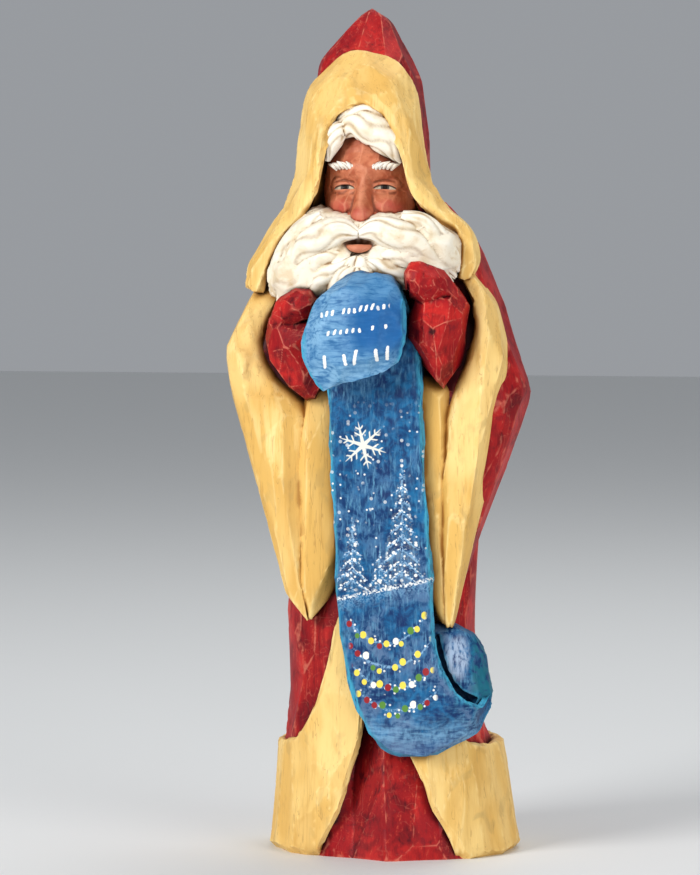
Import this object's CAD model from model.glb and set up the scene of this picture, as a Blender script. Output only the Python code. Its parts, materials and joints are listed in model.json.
"""Santa figurine, whittled from one block of basswood and painted.

The forms are worked out in millimetres, in the frame of the CAD model, cut to knife facets,
joined to one carving and turned into metres at the end.
"""
import json
import math

import bmesh
import bpy
import numpy as np
from mathutils import Matrix, Vector
from mathutils.bvhtree import BVHTree

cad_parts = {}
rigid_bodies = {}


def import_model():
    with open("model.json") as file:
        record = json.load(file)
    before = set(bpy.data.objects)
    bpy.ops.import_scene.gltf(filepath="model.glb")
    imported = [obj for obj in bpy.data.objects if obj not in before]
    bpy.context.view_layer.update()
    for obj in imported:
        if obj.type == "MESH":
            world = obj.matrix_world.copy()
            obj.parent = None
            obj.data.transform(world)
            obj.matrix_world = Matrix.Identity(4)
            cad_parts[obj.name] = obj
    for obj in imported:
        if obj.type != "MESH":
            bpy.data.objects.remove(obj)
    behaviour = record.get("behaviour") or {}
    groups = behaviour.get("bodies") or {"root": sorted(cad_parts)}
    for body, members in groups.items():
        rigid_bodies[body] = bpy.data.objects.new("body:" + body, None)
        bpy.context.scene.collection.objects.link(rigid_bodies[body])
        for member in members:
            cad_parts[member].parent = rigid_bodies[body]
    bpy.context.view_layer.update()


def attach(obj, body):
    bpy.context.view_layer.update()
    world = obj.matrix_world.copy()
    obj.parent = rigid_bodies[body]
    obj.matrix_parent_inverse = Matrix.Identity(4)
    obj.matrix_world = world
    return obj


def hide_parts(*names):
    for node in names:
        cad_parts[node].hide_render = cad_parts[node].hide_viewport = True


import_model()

MM = 0.001

# Driving sizes of the carving, in millimetres.
HEIGHT = 254
BASE_HALF_WIDTH = 39.6
BASE_FRONT = 31.8
BASE_BACK = 33
HEM_TOP = 33.5
HEM_THICKNESS = 5
HEM_FOOT_ROUND = 4
BORDER_THICKNESS = 4.2
CLOAK_SQUARENESS = 2.3
OPENING_FRONT = -46
UNDERROBE_TOP = 47
RIDGE_X = 3.5
HEAD_MIDDLE = np.array([-5, -7.5, 200])
HEAD_RADII = np.array([14.6, 17, 25])
FACE_FORWARD = HEAD_RADII[1]
FACE_FRONT = HEAD_MIDDLE[1] - FACE_FORWARD
FACE_THIRD = 16
HAIRLINE_Z = 222
BROW_Z = HAIRLINE_Z - FACE_THIRD
NOSE_BASE_Z = BROW_Z - FACE_THIRD
EYE_Z = BROW_Z - 4.5
EYE_SPACING = 6.1
EYE_HALF = 3.2
LID_GAP = 0.6
BEARD_X = -5
BEARD_FRONT = -34
STRAND_FAN_Z = 197
MOUTH_Z = 184

RED, CREAM, WHITE, SKIN, BROW, BLUE, BARE = range(7)


# Curves and sections.


def through(rows):
    """A smooth curve through rows of [place, value, value, ...]; it returns the values at a place."""
    rows = np.array(rows, float)
    place, value = rows[:, 0], rows[:, 1:]
    before = np.maximum(np.arange(len(rows)) - 1, 0)
    after = np.minimum(np.arange(len(rows)) + 1, len(rows) - 1)
    slope = (value[after] - value[before]) / (place[after] - place[before])[:, None]

    def at(where):
        where = np.asarray(where, float)
        i = np.clip(np.searchsorted(place, where, side="right") - 1, 0, len(rows) - 2)
        span = (place[i + 1] - place[i])[..., None]
        t = np.clip((where - place[i])[..., None] / span, 0, 1)
        return (
            value[i] * (1 + 2 * t) * (1 - t) ** 2
            + slope[i] * span * t * (1 - t) ** 2
            + value[i + 1] * t * t * (3 - 2 * t)
            + slope[i + 1] * span * t * t * (t - 1)
        )

    return at


def through_in_order(rows):
    """The same curve through rows that are numbered by their order."""
    return through([[i, *row] for i, row in enumerate(rows)])


def blunt(value, power):
    """The sine or cosine of a superellipse, which is round at a power of 2 and squarer above it."""
    return np.sign(value) * np.abs(value) ** (2 / power)


def unit(v):
    return v / np.maximum(np.linalg.norm(v, axis=-1, keepdims=True), 1e-9)


def walked_to(path):
    """How far each point of a path lies from its start, along the path."""
    return np.concatenate([[0], np.cumsum(np.linalg.norm(np.diff(path, axis=0), axis=1))])


def even_round(count, power, wide, deep):
    """Blunted cosines and sines whose points lie evenly round an oval of that width and depth."""
    angle = np.linspace(0, 2 * np.pi, 1601)
    c, s = blunt(np.cos(angle), power), blunt(np.sin(angle), power)
    walked = walked_to(np.stack([c * wide, s * deep], -1))
    stops = np.linspace(0, walked[-1], count + 1)[:-1]
    return np.interp(stops, walked, c), np.interp(stops, walked, s)


def evenly_along(curve, first, last, step):
    """Places from first to last along a curve, about a step of distance apart."""
    fine = np.linspace(first, last, 1500)
    walked = walked_to(curve(fine))
    count = max(6, int(round(walked[-1] / step)))
    return np.interp(np.linspace(0, walked[-1], count + 1), walked, fine)


def along_rows(rows, step):
    """Rows of [x, y, z, ...] filled in smoothly, a step apart along their path."""
    shape = through_in_order(rows)
    return shape(evenly_along(lambda place: shape(place)[:, :3], 0, len(rows) - 1, step))


def graded(stops, steps):
    """Places from stop to stop, with a number of even steps between each two."""
    runs = [np.linspace(a, b, n + 1)[:-1] for a, b, n in zip(stops, stops[1:], steps)]
    return np.concatenate([*runs, stops[-1:]])


# Closed forms.

# Where the painted rim of a band begins, as a share of the way from its middle to its edge.
RIM_START = 0.86


class Form:
    """A closed carved form: its points, faces and paint, and what each point tells the paint."""

    def __init__(self, points, faces, paint, along):
        self.points, self.faces, self.paint, self.along = points, faces, paint, along
        self.wear = np.zeros(len(points))
        self.tone = np.zeros(len(points))
        self.rim = np.zeros(len(points))
        volume = 0
        for half in ([0, 1, 2], [0, 2, 3]):
            a, b, c = (points[faces[:, k]] for k in half)
            volume += (a * np.cross(b, c)).sum()
        if volume < 0:
            self.faces = faces[:, ::-1].copy()

    def normals(self):
        a, b, c, d = (self.points[self.faces[:, k]] for k in range(4))
        flat = np.cross(c - a, d - b)
        total = np.zeros_like(self.points)
        for k in range(4):
            for axis in range(3):
                total[:, axis] += np.bincount(self.faces[:, k], flat[:, axis], len(self.points))
        return unit(total)

    def spacing(self):
        """The shorter of the two grid steps at each point."""
        a, b, c, d = (self.points[self.faces[:, k]] for k in range(4))
        short = np.minimum(np.linalg.norm(b - a, axis=1), np.linalg.norm(d - a, axis=1))
        nearest = np.full(len(self.points), 9.0)
        for k in range(4):
            np.minimum.at(nearest, self.faces[:, k], np.where(short > 0.05, short, 9.0))
        return nearest


def lofted(rings, paint):
    """A form through rings of equally many points, with a fan over each end."""
    rings = np.asarray(rings, float)
    count, sides = rings.shape[:2]
    middles = rings[[0, -1]].mean(axis=1)
    points = np.concatenate([rings.reshape(-1, 3), middles])
    grid = np.arange(count * sides).reshape(count, sides)
    turned = np.roll(grid, -1, axis=1)
    walls = np.stack([grid[:-1], turned[:-1], turned[1:], grid[1:]], axis=-1).reshape(-1, 4)
    foot = np.full(sides, count * sides)
    foot_fan = np.stack([foot, turned[0], grid[0], foot], axis=-1)
    head_fan = np.stack([foot + 1, grid[-1], turned[-1], foot + 1], axis=-1)
    along = unit(np.gradient(rings, axis=0)).reshape(-1, 3)
    along = np.concatenate([along, [[0, 0, 1], [0, 0, 1]]])
    return Form(points, np.concatenate([walls, foot_fan, head_fan]), paint, along)


def upright(rows, count, power, sides, paint):
    """A form of oval sections between x and y limits: rows of [z, x, x, front y, back y]."""
    heights = np.linspace(rows[0][0], rows[-1][0], count)
    rings = []
    for z, (inner, outer, front, back) in zip(heights, through(rows)(heights)):
        wide, deep = abs(outer - inner) / 2, (back - front) / 2
        c, s = even_round(sides, power, deep, wide)
        x, y = (inner + outer) / 2 + wide * s, (front + back) / 2 - deep * c
        rings.append(np.stack([x, y, np.full(sides, z)], -1))
    return lofted(rings, paint)


def band(left, right, thickness, sides, crown, power, paint):
    """A band between two edges, rounded at both; crown lifts its middle."""
    thickness, crown = np.broadcast_to(thickness, len(left)), np.broadcast_to(crown, len(left))
    middle = (left + right) / 2
    along = np.gradient(middle, axis=0)
    across = (right - left) / 2
    out = unit(np.cross(across, along))
    rings, rim = [], []
    for i in range(len(middle)):
        c, s = even_round(sides, power, np.linalg.norm(across[i]), thickness[i] / 2)
        lift = thickness[i] / 2 * s + crown[i] * (1 - c * c)
        rings.append(middle[i] + across[i] * c[:, None] + out[i] * lift[:, None])
        rim.append(np.abs(c))
    made = lofted(rings, paint)
    made.rim[:-2] = np.clip((np.concatenate(rim) - RIM_START) / (1 - RIM_START), 0, 1)
    return made


def closed_curve(outline, count):
    """Evenly spaced points round a smooth closed curve through [x, z] points."""
    outline = np.array(outline, float)
    n = len(outline)
    t = np.linspace(0, n, 40 * n + 1)[:-1]
    i = t.astype(int)
    u = (t - i)[:, None]
    p0, p1, p2, p3 = (outline[(i + k) % n] for k in (-1, 0, 1, 2))
    legs = ((p0, p1), (p1, p2), (p2, p3))
    d0, d1, d2 = (np.sqrt(np.linalg.norm(q - p, axis=1))[:, None] for p, q in legs)
    leave = d1 * ((p1 - p0) / d0 - (p2 - p0) / (d0 + d1) + (p2 - p1) / d1)
    reach = d1 * ((p2 - p1) / d1 - (p3 - p1) / (d1 + d2) + (p3 - p2) / d2)
    bow = (3 * (p2 - p1) - 2 * leave - reach) * u**2
    fine = p1 + leave * u + bow + (2 * (p1 - p2) + leave + reach) * u**3
    fine = np.concatenate([fine, fine[:1]])
    walked = walked_to(fine)
    stops = np.linspace(0, walked[-1], count + 1)[:-1]
    return np.stack([np.interp(stops, walked, fine[:, k]) for k in (0, 1)], -1)


def pillow(outline, y, front, back, paint, sides, rings, power):
    """A pillow seen from the front, swelling towards the front and back."""
    edge = closed_curve(outline, sides)
    middle = edge.mean(axis=0)
    reach = np.linalg.norm(edge - middle, axis=1).mean()
    angle = np.linspace(0, np.pi, 801)
    spread, rise = blunt(np.sin(angle), power), blunt(np.cos(angle), power)
    walked = walked_to(np.stack([spread * reach, rise * (front + back) / 2], -1))
    stops = np.linspace(0.02, 0.98, rings) * walked[-1]
    made = []
    for share, lift in zip(np.interp(stops, walked, spread), np.interp(stops, walked, rise)):
        flat = middle + (edge - middle) * share
        depth = y - lift * (front if lift > 0 else back)
        made.append(np.stack([flat[:, 0], np.full(sides, depth), flat[:, 1]], -1))
    return lofted(made, paint)


# Knife work.

CREASE = 0.7
MOST_CUTS = 2499
PLACES_TRIED = 9000
STEEPEST_TURN = 0.3
DEEPEST_CUT = 0.9
DEEPEST_SCORE = 1.5
OUT_OF_REACH = 99
PAIRS_AT_ONCE = 3000000


def scattered(points, normals, along, width, length, rng):
    """The middles of knife cuts, spread over a form: a long step along its run, a short one across."""
    spots, facing, run = (np.zeros((MOST_CUTS, 3)) for _ in range(3))
    kept = []
    for i in rng.permutation(len(points))[:PLACES_TRIED]:
        n = len(kept)
        gap = points[i] - spots[:n]
        reach = (gap * run[:n]).sum(1)
        apart = (gap * gap).sum(1) - reach**2 + (reach * width / length) ** 2
        apart += (width / CREASE) ** 2 * 2 * (1 - facing[:n] @ normals[i])
        if n == 0 or apart.min() > width * width:
            spots[n], facing[n], run[n] = points[i], normals[i], along[i]
            kept.append(i)
            if len(kept) == MOST_CUTS:
                break
    return np.array(kept)


def whittled(form, width, length=None, tilt=2.0, bite=0.05, seed=1, nearness=0.012):
    """The form cut to knife facets, each a little hollow, that meet in ridges.

    Nearness is how hollow a facet is, in mm of depth for each square mm away from its middle."""
    length = length or width
    rng = np.random.default_rng(seed)
    normals = form.normals()
    chosen = scattered(form.points, normals, form.along, width, length, rng)
    spot, run = form.points[chosen], form.along[chosen]
    lean = rng.normal(0, math.tan(math.radians(tilt)), (len(chosen), 3))
    facing = normals[chosen]
    facing = unit(facing + lean - facing * (lean * facing).sum(1, keepdims=True))
    level = (spot * facing).sum(1) - rng.uniform(0, bite, len(chosen)) - nearness * width**2 / 6
    shade = rng.uniform(-1, 1, len(chosen))
    step = form.spacing()
    squeeze = 1 - (width / length) ** 2
    moved = form.points.copy()
    batches = max(1, len(moved) * len(chosen) // PAIRS_AT_ONCE)
    for part in np.array_split(np.arange(len(moved)), batches):
        p, n = form.points[part], normals[part]
        gap = p[:, None] - spot[None]
        reach = np.einsum("ijk,jk->ij", gap, run)
        apart = np.einsum("ijk,ijk->ij", gap, gap) - squeeze * reach**2
        apart += (width / CREASE) ** 2 * 2 * (1 - n @ normals[chosen].T)
        turn = n @ facing.T
        score = (level - p @ facing.T) / np.maximum(turn, STEEPEST_TURN)
        score = np.clip(score, -DEEPEST_SCORE, DEEPEST_SCORE) + nearness * apart
        score[turn < STEEPEST_TURN] = OUT_OF_REACH
        rows = np.arange(len(part))
        best = np.argpartition(score, 1, axis=1)[:, :2]
        swap = score[rows, best[:, 0]] > score[rows, best[:, 1]]
        best[swap] = best[swap][:, ::-1]

        def slope(cut):
            """How the depth of a cut changes along the surface."""
            off = gap[rows, cut] - run[cut] * (reach[rows, cut] * squeeze)[:, None]
            steep = 2 * nearness * off - facing[cut] / np.maximum(turn[rows, cut], STEEPEST_TURN)[:, None]
            return steep - n * (steep * n).sum(1, keepdims=True)

        first, second = best.T
        lead = slope(first)
        ridge = slope(second) - lead
        bend = np.maximum(np.linalg.norm(ridge, axis=1), 1e-4)
        away = (score[rows, second] - score[rows, first]) / bend
        shift = ridge * np.where((away < 0.5 * step[part]) & (bend > 0.03), -away / bend, 0)[:, None]
        depth = np.clip(score[rows, first] + (lead * shift).sum(1), -DEEPEST_CUT, DEEPEST_CUT)
        moved[part] = p + shift + n * depth[:, None]
        line = np.exp(-((away / np.maximum(0.4, 0.55 * step[part])) ** 2))
        form.wear[part] = line * np.clip(bend / 0.16, 0, 1)
        form.tone[part] = shade[first]
    form.points = moved
    return form


# Cloak, underrobe and hem.

cloak_shape = through([
    # z, middle x and y, half width, front, back
    [-2, 0.2, 0, 33.4, 26.2, 26.6],
    [5, 0.2, 0, 35, 27.8, 28.4],
    [20, 0, 0, 34, 27.4, 28.6],
    [30, -0.9, 0, 32.6, 26.8, 28.2],
    [34, -1.6, 0, 30.9, 25.7, 27.8],
    [57, -3.3, 0, 28.6, 25.4, 27.2],
    [76, -3.2, 0, 28.4, 25, 26.6],
    [95, -3, 0, 28.2, 24.6, 26.6],
    [120, -3.2, 0, 29, 24, 27.6],
    [145, -3.8, 0, 30.6, 23, 28.6],
    [163, -4.4, 0, 31, 21, 28.8],
    [175, -5, 0.2, 29.6, 19.6, 27.6],
    [184, -6, 0.4, 26.6, 19.8, 26],
    [192, -6.8, 0.2, 21.9, 20.2, 24.4],
    [201, -7.4, -0.6, 19.6, 20.8, 23],
    [210, -7.6, -1.4, 18.6, 21.4, 22.2],
    [219, -7.2, -1.6, 17.8, 21, 21],
    [228, -7.4, -1.4, 16.6, 19, 19],
    [235, -7.8, -0.8, 14.6, 16.6, 16],
    [241, -7.8, 0, 11.8, 12.8, 12.8],
    [246, -7.4, 0.8, 8.6, 9.2, 9.2],
    [250, -6.8, 1.5, 5.4, 5.8, 5.8],
    [HEIGHT - 1, -6.4, 2, 1.9, 2.2, 2.2],
    [HEIGHT, -6.3, 2.2, 0.6, 0.7, 0.7],
])


def cloak_points(angle, z, cx, cy, half, front, back):
    """Points at angles round the cloak's blunt oval, which is deeper behind than in front."""
    depth = np.where(np.cos(angle) > 0, front, back)
    x = cx + half * blunt(np.sin(angle), CLOAK_SQUARENESS)
    y = cy - depth * blunt(np.cos(angle), CLOAK_SQUARENESS)
    return np.stack([x, y, np.broadcast_to(z, len(angle))], -1)


def make_cloak():
    runs = ((-2, 150, 1.9), (150, 236, 1.4), (236, HEIGHT, 0.8))
    heights = np.concatenate([*(np.arange(*run) for run in runs), [HEIGHT]])
    angle = np.linspace(0, 2 * np.pi, 121)[:-1]
    rings = [cloak_points(angle, z, *row) for z, row in zip(heights, cloak_shape(heights))]
    return whittled(lofted(rings, RED), width=8, length=24, tilt=2.2, bite=0.1, seed=11, nearness=0.008)


underrobe_front = through([
    # z, half width, front, fall from the ridge to the sides
    [-2, 25, -32.6, 11.2],
    [6, 22.5, -30.6, 9.4],
    [16, 18.5, -27.6, 7],
    [26, 14.5, -24.8, 5],
    [36, 10.5, -22.2, 3.4],
    [UNDERROBE_TOP, 7, -20, 3],
])


def make_opening():
    """The gap that is cut in the cloak's front, a little deeper than the underrobe's face."""
    heights = np.linspace(-4, UNDERROBE_TOP, 40)
    rings = []
    for z, (half, front, _) in zip(heights, underrobe_front(heights)):
        near, far = OPENING_FRONT, front + 5
        c, s = even_round(count=80, power=6, wide=(far - near) / 2, deep=half)
        x, y = RIDGE_X + half * s, (near + far) / 2 - (far - near) / 2 * c
        rings.append(np.stack([x, y, np.full(80, z)], -1))
    return lofted(rings, RED)


def make_underrobe():
    heights = np.linspace(-3, UNDERROBE_TOP, 56)
    share = np.linspace(-1, 1, 61)
    rings = []
    for z, (half, front, fall) in zip(heights, underrobe_front(heights)):
        y = front + fall * np.abs(share) ** 1.1
        face = np.stack([RIDGE_X + share * half, y, np.full(len(share), z)], -1)
        rear = np.array([[RIDGE_X + half, -6, z], [RIDGE_X - half, -6, z]])
        rings.append(np.concatenate([face, rear]))
    return whittled(lofted(rings, RED), width=11, length=34, tilt=2.2, bite=0.1, seed=12, nearness=0.006)


hem_shape = through([
    # z, middle, half width, front, back of the band's mid surface
    [-2, 0.5, BASE_HALF_WIDTH - 2.6, BASE_FRONT - 2.6, BASE_BACK - 2.6],
    [13, 0.6, BASE_HALF_WIDTH - 3, BASE_FRONT - 2.8, BASE_BACK - 3],
    [28, 0, BASE_HALF_WIDTH - 5.1, BASE_FRONT - 3.6, BASE_BACK - 4.4],
    [36, -1, BASE_HALF_WIDTH - 7.6, BASE_FRONT - 4.2, BASE_BACK - 5.6],
    [66, -2, BASE_HALF_WIDTH - 9.4, BASE_FRONT - 4.8, BASE_BACK - 6.4],
    [90, -2.5, BASE_HALF_WIDTH - 10.4, BASE_FRONT - 5.6, BASE_BACK - 6.4],
])
hem_edges = through_in_order([
    # lower edge's angle and height, upper edge's angle and height
    [-2, 62, -9, 82],
    [-3, 48, -19, 68],
    [-5.5, 37, -24, 57],
    [-10, 29, -31, 47.5],
    [-15, 18.5, -40, 39.5],
    [-22, 8.5, -52, 35.5],
    [-33, -1, -66, 34],
    *([low, -2, high, HEM_TOP] for low, high in (
        (-54, -82), (-82, -100), (-118, -124), (-150, -152), (-180, -180), (-210, -208), (-242, -236),
        (-278, -262), (-300, -284),
    )),
    [-319, -1, -301, 34.5],
    [-330, 8, -313, 37],
    [-337, 17, -323, 42],
    [-342, 26, -331, 50],
    [-347, 36, -336, 59],
    [-350, 48, -341, 70],
    [-352, 62, -346, 84],
])


def hem_sides(place, inset=0):
    """The hem's upper and lower edge at places along it."""
    low_angle, low_z, high_angle, high_z = hem_edges(place).T
    made = []
    for degrees, z in ((high_angle, high_z), (low_angle, low_z)):
        cx, half, front, back = hem_shape(z).T
        made.append(cloak_points(np.radians(degrees), z, cx, 0, half - inset, front - inset, back - inset))
    return made


def make_hem():
    place = evenly_along(lambda s: sum(hem_sides(s)) / 2, 0, 22, 1.4)
    # It is thicker behind than in front.
    extra = 2 * (1 - np.cos(np.radians(hem_edges(place)[:, 0])))
    left, right = hem_sides(place, extra / 2)
    made = band(left, right, HEM_THICKNESS + extra, sides=60, crown=0.8, power=3, paint=CREAM)
    # Its foot is rounded, and its knife cuts run up and down, across the way the band runs.
    low = np.clip((HEM_FOOT_ROUND - made.points[:, 2]) / HEM_FOOT_ROUND, 0, 1)
    drawn_in = 0.8 * HEM_FOOT_ROUND * (1 - np.sqrt(1 - low**2))
    made.points[:, :2] -= unit(made.points[:, :2]) * drawn_in[:, None]
    made.along = unit(np.cross(made.along, made.normals()))
    made.rim[:] = 0
    return whittled(made, width=8, length=26, tilt=1.8, bite=0.05, seed=13, nearness=0.01)


# Sleeves, cuffs and mittens.

sleeves = {
    "left": [
        # z, inner x, outer x, front y, back y
        [72, -20.6, -22, -26, -23],
        [76, -18.4, -24.4, -26.6, -17],
        [83, -16.5, -25.6, -25.4, -11],
        [92, -15.5, -28.8, -25.4, -5],
        [104, -15, -32.4, -25.4, 1],
        [116, -15, -35.8, -25, 5.5],
        [128, -15.5, -39.6, -24.4, 9],
        [140, -16, -42.8, -23.6, 12],
        [150, -16, -44.4, -22.6, 13.5],
        [160, -16, -44.2, -20.6, 14],
        [170, -15, -40.4, -18, 13],
        [176, -20, -37, -16.5, 11.5],
        [182, -25, -34.4, -14, 9],
        [188, -23, -31, -11.5, 6],
        [192, -20, -27, -9, 3],
    ],
    "right": [
        [71, 20.6, 22, -26, -23],
        [76, 18, 23.4, -26.6, -17],
        [83, 15, 24.6, -27, -11],
        [92, 13, 27.6, -27, -5],
        [104, 12, 31.2, -26.6, 1],
        [116, 11, 34.8, -26.2, 5.5],
        [128, 10, 38.8, -25.8, 9],
        [136, 10, 41.3, -25.4, 11],
        [143, 9.5, 41.2, -24.6, 12.5],
        [158, 9, 35.8, -22, 14],
        [168, 8, 33, -18.4, 13],
        [178, 12, 29.2, -16.4, 10],
        [184, 15.6, 26.4, -15, 6.5],
        [189, 13, 22.4, -14, 3.5],
        [196, 9.4, 16.6, -11.5, 0.5],
    ],
}
cuffs = {
    "left outer": [
        # z, inner x, outer x, front y, back y
        [71.4, -20.9, -21.9, -27.3, -25],
        [79, -20.3, -27.4, -28.6, -20],
        [91, -21.3, -31.4, -29.2, -17],
        [106, -22.6, -35.2, -29.5, -15],
        [122, -20.4, -39.8, -29.5, -13.5],
        [131, -19, -43, -29, -12],
        [138, -22.4, -44.4, -28.4, -11],
        [145, -30.5, -45.8, -27.4, -10],
        [153.5, -34.5, -46.7, -25.4, -9],
        [160, -33.6, -44.3, -23.6, -9],
        [166, -31, -41.6, -21.5, -9],
        [172, -28, -37.5, -18, -9],
    ],
    "right outer": [
        [70.2, 21, 22, -27.3, -25],
        [78, 19.2, 24.2, -28.6, -20],
        [88, 18.5, 26.3, -29.2, -17],
        [102, 18.6, 28.9, -29.5, -15],
        [116, 18, 32.3, -29.5, -14],
        [132, 18.6, 35.1, -29.2, -13],
        [141, 21, 36.2, -28.4, -12],
        [153, 25.6, 36.8, -26.6, -11],
        [161, 26.8, 34.8, -25, -10],
        [168.5, 25.2, 32, -22.6, -9],
        [175.5, 20.5, 26.5, -18.5, -9],
    ],
    "left inner": [
        [71.8, -20.4, -21.6, -26.4, -22],
        [77, -17, -24, -27.8, -17],
        [85, -13, -26.4, -28.3, -14],
        [105, -9, -27.4, -28.6, -12],
        [122, -9, -25.6, -28.4, -12],
        [139, -9, -22.4, -27.4, -12],
        [148, -9, -16, -24, -12],
    ],
    "right inner": [
        [70.6, 20.4, 21.6, -26.4, -22],
        [77, 15.2, 22.6, -27.8, -17],
        [86, 11.5, 23.2, -28.3, -14],
        [105, 8, 23.6, -28.6, -12],
        [124, 7, 22.6, -28.4, -12],
        [140, 7, 21, -27.4, -12],
        [148, 8, 15.8, -24, -12],
    ],
}


def make_sleeves():
    made = []
    for n, rows in enumerate(sleeves.values()):
        form = upright(rows, count=84, power=2.8, sides=72, paint=RED)
        made.append(whittled(form, width=8, length=24, tilt=2.2, bite=0.1, seed=20 + n, nearness=0.008))
    for n, rows in enumerate(cuffs.values()):
        count = int((rows[-1][0] - rows[0][0]) / 1.15)
        form = upright(rows, count=count, power=2.7, sides=48, paint=CREAM)
        made.append(whittled(form, width=7, length=34, tilt=1.6, bite=0.04, seed=30 + n, nearness=0.006))
    return made


mouths = [
    [[-34.6, 157], [-31, 165], [-22, 168], [-12, 160], [-12, 144], [-18, 139.5], [-26, 142.5], [-33, 148.5]],
    [[12, 170], [20, 174], [26, 169], [27.2, 160], [25.6, 152], [21.6, 144.6], [17, 143], [12, 146]],
]


def make_mouths():
    """The hollows of the cuffs' mouths, in which the hands lie."""
    shape = {"y": -36, "front": 6, "back": 18, "sides": 80, "rings": 26, "power": 3}
    return [pillow(outline, paint=CREAM, **shape) for outline in mouths]


palms = {
    "left": [[-34.2, 154], [-33.2, 160], [-29.6, 164.4], [-24, 165], [-14, 164], [-12, 152], [-17, 140],
             [-20.9, 137.2], [-25.4, 140.6], [-30.4, 146]],
    "right": [[10.4, 168], [14, 173.4], [22.7, 172.4], [26.6, 167], [26.8, 160], [25.6, 153.3],
              [22.4, 145], [20, 141.2], [16, 145.4], [10.2, 153], [8.6, 161]],
}
thumbs = {
    "left": [[-30, -28, 160.5, 3.6], [-26.4, -31, 163.6, 4.8], [-22, -33.4, 166.2, 4.8],
             [-18.2, -34.6, 167.4, 3]],
    "right": [[21, -29, 168.5, 4.6], [17, -33.4, 171.6, 5.8], [12.6, -36.4, 173.6, 5.4],
              [9, -37.6, 173.4, 3]],
}


def tube(rows, step, sides, paint):
    """A tapered round form along rows of [x, y, z, half width]."""
    values = along_rows(rows, step)
    path, radius = values[:, :3], values[:, 3:]
    along = unit(np.gradient(path, axis=0))
    side = unit(np.cross(along, [0, -1, 0]))
    out = np.cross(side, along)
    angle = np.linspace(0, 2 * np.pi, sides + 1)[:-1]
    wide, deep = radius * np.cos(angle), radius * np.sin(angle)
    return lofted(path[:, None] + side[:, None] * wide[..., None] + out[:, None] * deep[..., None], paint)


def make_mittens():
    made = []
    for n, (side, front) in enumerate([("left", 11), ("right", 13)]):
        palm = pillow(palms[side], y=-26, front=front, back=9, paint=RED, sides=128, rings=56, power=2.2)
        thumb = tube(thumbs[side], step=0.55, sides=48, paint=RED)
        made.append(whittled(palm, width=6.2, tilt=7, bite=0.35, seed=40 + n, nearness=0.008))
        made.append(whittled(thumb, width=5.0, tilt=7, bite=0.25, seed=42 + n, nearness=0.008))
    return made


# Hood.

hollow_outline = [[-29.6, 184], [-22.6, 196], [-19.4, 207], [-18.0, 214], [-15.2, 221.8], [-6.8, 227.6],
                  [1.8, 224.4], [5.4, 216.6], [7.4, 209.5], [8.8, 200.6], [12, 194], [19, 185], [12, 170],
                  [-16, 170]]
border_edges = [
    # inner edge x, y, z, outer edge x, y, z
    [-36.6, -20.6, 169.4, -40.4, -15.6, 171],
    [-33.4, -21.8, 178.6, -39.2, -12.4, 179.4],
    [-28.6, -23.2, 187, -34.2, -9, 188],
    [-21.4, -25.6, 195.5, -29.4, -8, 197],
    [-17.4, -27.2, 207.5, -26.8, -9, 207.5],
    [-15.8, -26.8, 215.5, -25, -9.4, 219],
    [-12.6, -25.8, 221.9, -21.2, -11.4, 231.8],
    [-6.8, -25.2, 225.2, -9.8, -12.2, 240.8],
    [-0.8, -25.2, 223, 2.8, -12, 237.4],
    [3.8, -26, 216.6, 8.6, -12.4, 227.4],
    [7, -26.8, 209.5, 11, -13.8, 214.6],
    [10.4, -26.4, 200, 13.2, -14, 203],
    [16.6, -24.6, 193.4, 18.6, -13.6, 194],
    [22.2, -22.6, 187.8, 25.6, -14, 186.4],
    [23.4, -21.6, 181, 27, -14.8, 179.4],
    [22.2, -21, 174.6, 24.6, -16.4, 174],
]


def make_hollow():
    return pillow(hollow_outline, y=-36, front=6, back=26, paint=CREAM, sides=140, rings=40, power=6)


def make_border():
    edges = along_rows(border_edges, 1.0)
    made = band(edges[:, 3:], edges[:, :3], BORDER_THICKNESS, sides=52, crown=1.2, power=3, paint=CREAM)
    made.rim[:] = 0
    return whittled(made, width=7.5, length=20, tilt=1.3, bite=0.03, seed=50, nearness=0.015)


# Head.


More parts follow.
